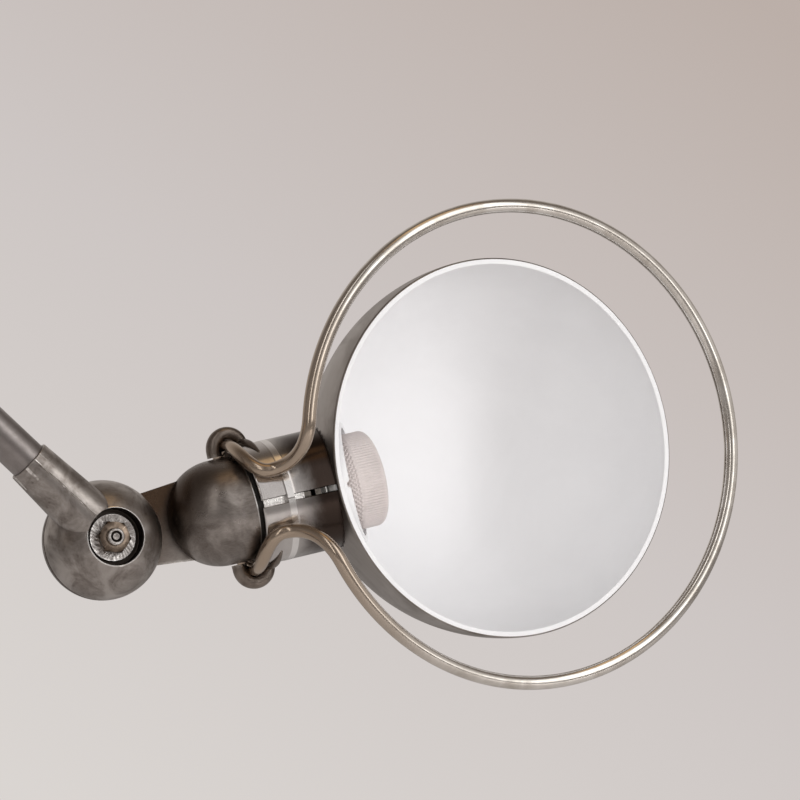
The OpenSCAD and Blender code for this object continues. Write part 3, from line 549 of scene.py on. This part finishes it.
def half_cone(x_to):
    """Half a cone about X, behind the joint's split face: each section is a half circle closed by a flat."""
    arc = np.linspace(-math.pi / 2, math.pi / 2, 91)
    t = np.array([0, 0, *np.linspace(0, 1, 30), 1])[:, None]
    radius = cone_root + (cone_mouth - cone_root) * t
    radius[0] = radius[-1] = 0
    flat = np.linspace(1, -1, 24)[1:]
    y = np.concatenate([radius * np.sin(arc), radius * flat], 1)
    z = np.concatenate([np.minimum(-radius * np.cos(arc), -split_half_gap),
                        0 * radius * flat - split_half_gap], 1)
    y[0] = y[-1] = 0
    z[0] = z[-1] = -5
    return np.stack([cone_start + (x_to - cone_start) * t + 0 * y, y, z], -1)


dome_angle = np.linspace(math.pi, math.pi / 2, 60)
dome_arc = np.stack([dome_radius * np.sin(dome_angle), dome_centre + dome_radius * np.cos(dome_angle)], -1)
knuckle = np.concatenate([dome_arc, [(dome_radius, dome_end - 0.8)], rounded([
    (dome_radius, dome_end - 0.6), (dome_radius, dome_end, 0.35), (spigot_radius, dome_end),
    (spigot_radius, spigot_end, 0.3), (0, spigot_end)])])
knuckle_kinds = np.where((knuckle[1:, 0] > dome_radius - 0.7) & (knuckle[1:, 1] > dome_end - 0.6), 1, 0)
knuckle_place = towards(head_axis, front, head)
ball, ball_kinds = half_ball(head_recess)
made_piece("head_knuckle_casting", [placed(ball, towards(head_axis, -front, head)),
                                    placed(half_cone(knuckle_cone_end), knuckle_place),
                                    placed(along_x(revolved(knuckle, 181)), knuckle_place)],
           "knuckle", "bare_steel", [turned_steel, rim_steel, painted_shade_steel], "head_knuckle",
           rows_of=[ball_kinds, None, knuckle_kinds])

stem = rounded([(0, collar_start), (collar_radius, collar_start), (collar_radius, collar_end, 0.8),
                (shaft_radius, collar_end), (shaft_radius, shaft_end, 0.6), (0, shaft_end)])
stem_place = towards([0, 0, -1], -front, shoulder)
ball, ball_kinds = half_ball(nut_recess)
made_piece("shoulder_base_casting", [placed(ball, towards([0, 0, -1], front, shoulder)),
                                     placed(half_cone(stem_cone_end), stem_place),
                                     placed(along_x(revolved(stem, 145)), stem_place)],
           "turret", "bare_steel", [cast_steel, rim_steel, painted_shade_steel], "shoulder_base",
           rows_of=[ball_kinds, None, None])

# ---- Neck ----
# A turned steel sleeve of 49 mm, slit along its front so that it grips, with a short bridge left across
# the slit. Two bent bars stand on it behind and guide the wire of the handling ring.
neck_turn = math.radians(2.0)
head_back = math.cos(neck_turn) * np.array([0, 1.0, 0]) + math.sin(neck_turn) * head_up
reflector_up = np.cross(head_axis, head_back)
neck_place = frame_at(head, head_axis, head_back)
lean = math.radians(9.5)
rim_radius, bowl_depth, sheet, lip_width, rim_clearance = 77.0, 88.0, 1.2, 2.6, 30.2
neck_radius, neck_inner, neck_start, sleeve_start = 24.6, 22.0, 61.8, 61.0
bridge_start, bridge_end = sleeve_start + 11, sleeve_start + 13.8
near_slit, closed_slit, far_slit = 1.5, 0.001, 1.2
rim_drop = neck_radius + 2 - (rim_radius + 1) * math.sin(lean)
rim_centre = np.array([neck_start + rim_radius + rim_clearance, -rim_drop, 0])
opening = np.array([math.sin(lean), -math.cos(lean), 0])
across = np.array([math.cos(lean), math.sin(lean), 0])
upward = np.array([0, 0, 1.0])


def bowl_meets(y, z, radius, depth):
    """How far along the head's axis a line at y, z meets an ellipsoid of that radius and depth: the nearer
    root of the quadratic that the line gives in the bowl's own axes, counted from before the bowl."""
    before = 40
    start = np.stack([0 * y + before, y, z], -1) - rim_centre
    a, b, c = start @ across, start @ upward, start @ opening
    da, dc = across[0], opening[0]
    qa = da ** 2 / radius ** 2 + dc ** 2 / depth ** 2
    qb = 2 * (a * da / radius ** 2 + c * dc / depth ** 2)
    qc = (a ** 2 + b ** 2) / radius ** 2 + c ** 2 / depth ** 2 - 1
    return before + (-qb - np.sqrt(np.maximum(qb ** 2 - 4 * qa * qc, 0))) / (2 * qa)


def sleeve_part(x_from, x_to, half_gap):
    """A split tube: its C-shaped section is carried along X from x_from to x_to, or to the bowl's wall.
    Its outside stands back a little before and after the bridge, as turning left it."""
    gap, edge = half_gap / neck_radius, 0.25 / neck_radius
    far_gap = 2 * math.pi - gap
    outer = np.linspace(gap, far_gap, 181)
    angle = np.concatenate([[gap, gap, gap + edge], outer[2:-2], [far_gap - edge, far_gap, far_gap],
                            outer[::-1], [gap]])
    radius = np.concatenate([[neck_inner, neck_radius - 0.3, neck_radius], 0 * outer[2:-2] + neck_radius,
                             [neck_radius, neck_radius - 0.3, neck_inner], 0 * outer + neck_inner,
                             [neck_inner]])
    y, z = -radius * np.cos(angle), radius * np.sin(angle)
    far = bowl_meets(y, z, rim_radius - 0.5, bowl_depth - 0.5) if x_to is None else x_to + 0 * y
    t = np.array([0, 0, 0.012, 0.03, *np.linspace(0.06, 0.97, 60), 0.985, 1, 1])[:, None]
    x = x_from + t * (far - x_from)
    turned = np.interp(x - sleeve_start, [0, 0.25, 0.6, 10.4, 11.0, 13.8, 14.4, 139],
                       [-0.4, -0.12, -0.08, -0.08, 0.0, 0.0, -0.06, 0.0])
    swell = 1 + np.where(radius > neck_inner + 0.1, 1, 0) * turned / neck_radius
    grid = np.stack([x, y * swell, z * swell], -1)
    wall_middle = 0.5 * (neck_radius + neck_inner)
    closed = np.stack([x, 0 * x - wall_middle * np.cos(angle), wall_middle * np.sin(angle) + 0 * x], -1)
    grid[0], grid[-1] = closed[0], closed[-1]
    return grid


def bar_along(route, radii, count=24):
    """A round bar: a circle of the given radius carried along a route without twist, with closed ends."""
    heading = np.gradient(route, axis=0)
    heading /= np.linalg.norm(heading, axis=1)[:, None]
    side = np.cross(heading[0], [0.3, 0.2, 0.9])
    sides = []
    for d in heading:
        side = side - (side @ d) * d
        side /= np.linalg.norm(side)
        sides.append(side)
    sides = np.array(sides)
    other = np.cross(heading, sides)
    angle = np.linspace(0, 2 * math.pi, count + 1)[:, None]
    ring = sides[:, None] * np.cos(angle) + other[:, None] * np.sin(angle)
    grid = route[:, None] + np.asarray(radii)[:, None, None] * ring
    first, last = (np.repeat(tip[:, None], count + 1, 1) for tip in (route[:1], route[-1:]))
    return np.concatenate([first, grid, last])


wire_radius = 2.5
hug_radius, hug_x = dome_radius + wire_radius + 1.3, neck_start - wire_radius - 0.1
lug_bar, lug_reach, lug_y, lug_foot = 2.7, 6.0, 3.0, math.radians(34)


def lug(side):
    """An arch over the wire: a half circle in the X and Z plane. Its leg by the dome runs straight down, and
    its other leg goes round on the neck towards the front and tapers to a point."""
    t = np.linspace(-1, 1.06, 90)
    arc, foot = np.clip(t, 0, 1) * math.pi, np.clip(-t, 0, 1)
    round_neck = math.asin(lug_y / neck_radius) * (1 - foot) - lug_foot * foot
    x = hug_x + 1.1 + lug_reach * np.cos(arc) + 1.5 * foot
    level = neck_radius + lug_reach * np.sin(arc) - 0.4 * foot - np.where(t > 1, (t - 1) * 40, 0)
    thick = lug_bar * np.interp(t, [-1, -0.5, 0.05, 0.5, 1.06], [0.2, 0.66, 0.95, 1.0, 1.15])
    z = side * (level - neck_radius * (1 - np.cos(round_neck)))
    return bar_along(np.stack([x, neck_radius * np.sin(round_neck), z], -1), thick)


# Towards the bowl the neck is painted dark brown: partly patina, and partly painted shade and painted
# reflection of the dark bowl.
neck_steel = steel("neck_steel", (0.40, 0.37, 0.355, 1), (0.60, 0.575, 0.56, 1), (0.85, 0.82, 0.8, 1), 0.17,
                   300.0, 0.00002, 0.1, stain_scale=40.0, edge=0.6, turn=brushed_lean,
                   stretch=(0.12, 2.5, 2.5), patina_and_painted_light=(head_axis, 72.0, 86.0, (0.05, 0.036, 0.03, 1)))
polished_steel = steel("polished_steel", (0.68, 0.66, 0.645, 1), (0.84, 0.82, 0.81, 1),
                       (0.92, 0.91, 0.90, 1), 0.16, 300.0, 0.00001, 0.1)
lug_steel = steel("lug_steel", (0.085, 0.065, 0.052, 1), (0.28, 0.24, 0.21, 1), (0.5, 0.46, 0.42, 1), 0.34,
                  600.0, 0.00006, 0.3)
sleeve = [sleeve_part(sleeve_start, bridge_start, near_slit),
          sleeve_part(bridge_start, bridge_end, closed_slit), sleeve_part(bridge_end, None, far_slit)]
made_piece("neck_split_sleeve", [placed(g, neck_place) for g in sleeve], "head", "brushed_neck",
           [neck_steel, polished_steel], "neck_sleeve",
           rows_of=[None, np.ones(len(sleeve[1]) - 1, int), None])
made_piece("wire_lugs", [placed(lug(1), neck_place), placed(lug(-1), neck_place)], "head", "brushed_neck",
           lug_steel)

# ---- Reflector ----
# A spun steel bowl, 154 mm across, with its edge rolled inwards to a flat lip. It is bare and brushed
# outside, and stove-enamelled white inside and over the lip. The neck comes in through a hole in its side.
def bowl():
    """The bowl's section about its own axis, closed: half ellipses for the two walls, joined by the lip."""
    a = np.linspace(math.pi / 2, 0.02, 110)
    inner = np.stack([(rim_radius - sheet) * np.cos(a), -(bowl_depth - sheet) * np.sin(a)], -1)
    outer = np.stack([rim_radius * np.cos(a), -bowl_depth * np.sin(a)], -1)[::-1]
    lip_edge = rim_radius - lip_width
    lip = rounded([tuple(inner[-1]), (rim_radius - sheet, -sheet, 1.2), (lip_edge, -sheet, 0.3),
                   (lip_edge, 0, 0.45), (rim_radius, 0, 0.9), tuple(outer[0])])
    section = np.concatenate([inner, lip[1:-1], outer])
    bare_points = 8
    enamelled = np.arange(len(section) - 1) < len(inner) + len(lip) - bare_points
    return revolved(section, 241), np.where(enamelled, 0, 1)


def cut_for_neck(piece, hole):
    """Opens the bowl's walls round the neck: faces inside the hole go, and its edge is drawn to a circle."""
    mesh = piece.data
    origin, axes = neck_place
    point = np.empty(len(mesh.vertices) * 3)
    mesh.vertices.foreach_get("co", point)
    local = (point.reshape(-1, 3) * 1000 - origin) @ axes.T
    away = np.hypot(local[:, 1], local[:, 2])
    near_side = 130
    near = (local[:, 0] < near_side) & (away < hole)
    rim = (local - rim_centre) @ np.stack([across, upward, opening], 1)
    wall = np.sqrt((rim[:, 0] ** 2 + rim[:, 1] ** 2) / rim_radius ** 2 + rim[:, 2] ** 2 / bowl_depth ** 2)
    drawn = local.copy()
    drawn[:, 1:] *= (hole / np.maximum(away, 1e-6))[:, None]
    drawn[:, 0] = bowl_meets(drawn[:, 1], drawn[:, 2], rim_radius * wall, bowl_depth * wall)
    drawn = (origin + drawn @ axes) / 1000
    shape = bmesh.new()
    shape.from_mesh(mesh)
    shape.verts.ensure_lookup_table()
    gone = [f for f in shape.faces if all(near[v.index] for v in f.verts)]
    staying = set(shape.faces) - set(gone)
    for i in {v.index for f in staying for v in f.verts if near[v.index]}:
        shape.verts[i].co = drawn[i]
    bmesh.ops.delete(shape, geom=gone, context="FACES")
    bmesh.ops.bridge_loops(shape, edges=[e for e in shape.edges if e.is_boundary])
    bmesh.ops.recalc_face_normals(shape, faces=shape.faces)
    shape.to_mesh(mesh)
    shape.free()
    mesh.polygons.foreach_set("use_smooth", np.ones(len(mesh.polygons), bool))


enamel, tree = new_material("white_enamel")
where = add(tree, "TexCoord").outputs["Object"]
ripple = add(tree, "TexNoise", {"Vector": where, "Scale": 60.0, "Detail": 2.0})
yellowing = add(tree, "Group", {"Vector": where, "Scale": 18.0, "Contrast": 0.3}, node_tree=stain).outputs[0]
bump = add(tree, "Bump", {"Height": ripple.outputs["Fac"], "Distance": 0.0002, "Strength": 0.5})
finished(tree, {"Base Color": blended(tree, yellowing, (0.85, 0.85, 0.86, 1), (0.90, 0.90, 0.91, 1)),
                "Roughness": ranged(tree, yellowing, 0.0, 1.0, 0.42, 0.34), "Normal": bump.outputs[0]})

bowl_steel = steel("bowl_steel", (0.20, 0.175, 0.155, 1), (0.40, 0.37, 0.35, 1), (0.6, 0.57, 0.55, 1), 0.36,
                   120.0, 0.00003, 0.1, stain_scale=26.0)
neck_axes = neck_place[1]
rim_place = frame_at(head + rim_centre @ neck_axes, across @ neck_axes, upward @ neck_axes)
bowl_grid, bowl_kinds = bowl()
reflector = made_piece("reflector_bowl", [placed(bowl_grid, rim_place)], "head", "white_enamel",
                       [enamel, bowl_steel], "reflector", rows_of=[bowl_kinds])
cut_for_neck(reflector, neck_radius + 0.05)

mouth_inner, mouth_outer, mouth_edge, mouth_reach, mouth_slant = 22.2, 24.5, 24.4, 108.2, 0.4
notch_depth, notch_half_width = 1.3, 1.2


def neck_mouth():
    """The neck's enamelled end inside the bowl: a tube from the bowl's wall to a slanting plane, x = the
    mouth's reach + its slant times y, with a notch where the slit runs out."""
    angle = np.linspace(0, 2 * math.pi, 361)
    rows = []
    along = [(mouth_outer, t) for t in np.linspace(0.1, 0.97, 10)]
    for radius, t in [(mouth_inner, 0), (mouth_outer, 0), *along, (mouth_edge, 1),
                      (mouth_edge - 0.2, 1.004), (mouth_inner, 1), (mouth_inner, 0)]:
        y, z = -radius * np.cos(angle), radius * np.sin(angle)
        start = bowl_meets(y, z, rim_radius - 0.6, bowl_depth - 0.6)
        notch = notch_depth * np.exp(-(z / notch_half_width) ** 4) * (y < 0)
        length = np.maximum(mouth_reach + mouth_slant * y - notch - start, 0.8)
        rows.append(np.stack([start + t * length, y, z], -1))
    return np.stack(rows)


made_piece("neck_mouth", [placed(neck_mouth(), neck_place)], "head", "white_enamel", enamel)

# ---- Handling ring ----
# A bright drawn wire: a circle in front of the rim that bends back at both ends, crosses the neck,
# passes under the lugs, and runs round behind the neck. It is a little thicker away from the lugs.
ring_radius, ring_half_open, ring_forward, ring_outward = 96.4, math.radians(18), 11, 3
wire_swell, swell_y, swell_x, swell_run = 0.35, -2, 75, 14
ring_centre = rim_centre + ring_forward * opening + ring_outward * across
saddle_x, saddle_z = neck_start + 5.2, 12.6


def curve_through(p):
    """A cubic curve with four control points."""
    t = np.linspace(0, 1, 40, endpoint=False)[:, None]
    return (1 - t) ** 3 * p[0] + 3 * (1 - t) ** 2 * t * p[1] + 3 * (1 - t) * t ** 2 * p[2] + t ** 3 * p[3]


def wire_route():
    """Half of the wire, from the ring's far side to the middle behind the neck, and then its mirror."""
    end = math.pi - ring_half_open
    a = np.linspace(0, end, 150, endpoint=False)[:, None]
    circle = ring_centre + ring_radius * (np.cos(a) * across + np.sin(a) * upward)
    last = ring_centre + ring_radius * (math.cos(end) * across + math.sin(end) * upward)
    onward = math.cos(end) * upward - math.sin(end) * across
    bend_out = neck_radius + wire_radius + 0.5
    saddle = np.array([saddle_x, -math.sqrt(bend_out ** 2 - saddle_z ** 2), saddle_z])
    start = math.asin(lug_y / hug_radius)
    under = np.array([hug_x, hug_radius * math.sin(start), hug_radius * math.cos(start)])
    first = curve_through([last, last + 14 * onward, saddle + [9, -1, 0], saddle])
    second = curve_through([saddle, saddle - [8.5, -0.5, -0.5],
                            under + [-1, -17 * math.cos(start), 17 * math.sin(start) + 0.6], under])
    b = np.linspace(start, math.pi / 2, 20)[:, None]
    hug = np.concatenate([hug_x + 0 * b, hug_radius * np.sin(b), hug_radius * np.cos(b)], 1)
    half = np.concatenate([circle, first, second, hug])
    return np.concatenate([half[::-1], (half * [1, 1, -1])[1:]])


# Near the neck the wire is painted tan: a painted warm reflection.
wire_steel = steel("wire_steel", (0.50, 0.455, 0.405, 1), (0.80, 0.765, 0.72, 1), (0.85, 0.82, 0.78, 1),
                   0.17, 160.0, 0.000008, 0.1, stain_scale=60.0, contrast=0.2, edge=0.95,
                   patina_and_painted_light=(-head_axis, -130.0, -70.0, (0.43, 0.345, 0.27, 1)))
route = wire_route()
swell = np.clip(np.maximum(swell_y - route[:, 1], route[:, 0] - swell_x) / swell_run, 0, 1)
wire = bar_along(route, wire_radius + wire_swell * swell, 32)
made_piece("handling_wire", [placed(wire, neck_place)], "head", "polished_wire", wire_steel, "handling_ring")

# ---- Lampholder and shade ring ----
# A porcelain lampholder with a screw thread sits on a plate in the neck. A moulded shade ring is screwed
# on to it from inside the bowl: its first third is diamond-knurled, and fine ribs run along the rest.
def plain(name, colour, roughness, metallic=0.0, spread=0.12, coat=0.0):
    """A moulded or fired material: a colour that varies a little, a fine grain, and painted shade in its
    corners.
    """
    material, tree = new_material(name)
    where = add(tree, "TexCoord").outputs["Object"]
    stains, grains = (add(tree, "Group", {"Vector": where, **inputs}, node_tree=group).outputs[0]
                      for inputs, group in (({"Scale": 60.0, "Contrast": 0.28}, stain),
                                            ({"Scale": 600.0, "Pits": 0.2}, grain)))
    # The third colour, a third as bright, is painted shade laid in corners and grooves by ambient occlusion.
    dark, light, painted_shade_colour = (tuple(min(1, c * share) for c in colour) + (1,)
                         for share in (1 - spread, 1 + spread, 0.35))
    shelter = add(tree, "AmbientOcclusion", {"Distance": 0.0015}, samples=6, only_local=True)
    painted_shade_factor = ranged(tree, shelter.outputs["AO"], 0.45, 0.9, 0.45)
    bump = add(tree, "Bump", {"Height": grains, "Strength": 1.0, "Distance": 0.00003})
    finished(tree, {"Base Color": blended(tree, painted_shade_factor, painted_shade_colour, blended(tree, stains, dark, light)),
                    "Roughness": ranged(tree, stains, 0.0, 1.0, roughness + 0.06, roughness - 0.04),
                    "Normal": bump.outputs[0], "Metallic": metallic, "Coat Weight": coat})
    return material


shade_radius, shade_inner, shade_length, shade_start = 19.5, 14.7, 18.0, 98.0
holder_radius, holder_bore, holder_foot, holder_top, holder_start = 17.2, 13.9, 5, 25, 86.9
thread_inner, thread_depth, thread_pitch, thread_length, thread_inset = 13.2, 0.55, 3.6, 15, 0.4


def knurled_ring(outer, inner, length):
    """The ring about Z: a diamond pattern over its first third, then ribs, then a rounded end. The diamonds
    are two sets of waves, 60 round the ring, that run up it to either side. The ribs are 100 waves."""
    count = 901
    angle = np.linspace(0, 2 * math.pi, count)
    z = np.array([0.0, 0.15, *np.linspace(0.3, 6.2, 25), 6.6, 6.9, 7.4, *np.linspace(8, length - 2.6, 8),
                  *(length - 2.2 + 2.2 * np.sin(np.linspace(0, math.pi / 2, 8)))])
    r = np.full_like(z, outer)
    r[0] -= 0.4
    r[-8:] = outer - 2.2 + 2.2 * np.cos(np.linspace(0, math.pi / 2, 8)) ** 0.8
    ribs = np.clip((z - 7.2) / 0.6, 0, 1) * np.clip((length - 0.9 - z) / 1.4, 0, 1)
    diamonds = np.clip((6.4 - z) / 0.3, 0, 1) * np.clip(z / 0.2, 0, 1)
    cut = 0.26 * ribs[:, None] * (0.5 - 0.5 * np.cos(100 * angle))
    a, b = 60 * angle + z[:, None] * 3.1, 60 * angle - z[:, None] * 3.1
    tips = (0.5 + 0.5 * np.cos(a)) ** 0.6 * (0.5 + 0.5 * np.cos(b)) ** 0.6
    cut = cut + 0.6 * diamonds[:, None] * (1 - tips)
    groove = 0.35 * np.exp(-((z - 6.75) / 0.25) ** 2)[:, None]
    skin = revolved(np.stack([r, z], -1), count)
    factor = (r[:, None] - cut - groove) / r[:, None]
    skin[..., :2] *= factor[..., None]
    inside = revolved([(inner, length), (inner, length - 1.5), (outer - 2.25, length - 1.5),
                       (outer - 2.25, 0), (outer - 0.4, 0)], count)
    return np.concatenate([skin, inside])


pale_moulding = plain("pale_moulding", (0.66, 0.60, 0.585), 0.5, spread=0.1)
porcelain = plain("porcelain", (0.78, 0.77, 0.74), 0.3, coat=0.3)
brass = plain("plain_brass", (0.62, 0.45, 0.21), 0.35, metallic=1.0)
copper = plain("bare_copper", (0.62, 0.32, 0.20), 0.35, metallic=1.0)
black_moulding = plain("black_moulding", (0.03, 0.027, 0.024), 0.42, spread=0.25)
rubber = plain("black_rubber", (0.025, 0.025, 0.025), 0.7, spread=0.2)
shade_place = frame_at(head + shade_start * head_axis, head_back, reflector_up)
shade = knurled_ring(shade_radius, shade_inner, shade_length)
made_piece("knurled_shade_ring", [placed(shade, shade_place)], "head", "pale_plastic", pale_moulding,
           "shade_ring")
thread = np.linspace(0, thread_length, 121)
thread_wave = 0.5 + 0.5 * np.cos(thread / thread_pitch * 2 * math.pi)
bore = np.stack([thread_inner + thread_depth * thread_wave, holder_top - thread_inset - thread], -1)
shell = rounded([(holder_bore, holder_foot), (holder_radius, holder_foot), (holder_radius, holder_top, 0.5),
                 (holder_bore, holder_top, 0.3), tuple(bore[0])])
holder = np.concatenate([shell[:-1], bore, [(holder_bore, holder_foot)]])
holder_place = frame_at(head + holder_start * head_axis, head_back, reflector_up)
made_piece("lampholder_barrel", [placed(revolved(holder, 121), holder_place)], "head", "white_ceramic",
           porcelain, "lampholder_shell")

# ---- Wall plate, bracket and inner parts ----
# The plate and bracket are cast and left bare, and an edge value above any bend keeps them unworn. Bushes
# and contacts are brass, and the contacts' holders are black mouldings. All keep the solids' own shapes.
bracket_steel = steel("bracket_steel", (0.18, 0.15, 0.135, 1), (0.38, 0.35, 0.33, 1), (0.5, 0.47, 0.45, 1),
                      0.38, 500.0, 0.00004, 0.3, edge=2.0)
finishes = {
    "bare_steel": bracket_steel, "brushed_tube": tube_steel, "brushed_neck": neck_steel,
    "polished_wire": wire_steel, "plated_steel": bright_zinc, "white_enamel": enamel,
    "black_rubber": rubber, "black_plastic": black_moulding, "pale_plastic": pale_moulding,
    "white_ceramic": porcelain, "brass": brass, "copper": copper}
# The retaining ring and lampholder plate sit in the gap behind the dome and are near-black as painted shade.
painted_shade_parts = ("retaining_ring", "lampholder_plate")
for part in frame["record"]["subparts"]:
    name = part["node"]
    finish = painted_shade_steel if name in painted_shade_parts else finishes[part["material_slot"]]
    materials = frame["nodes"][name].data.materials
    materials.clear()
    materials.append(finish)
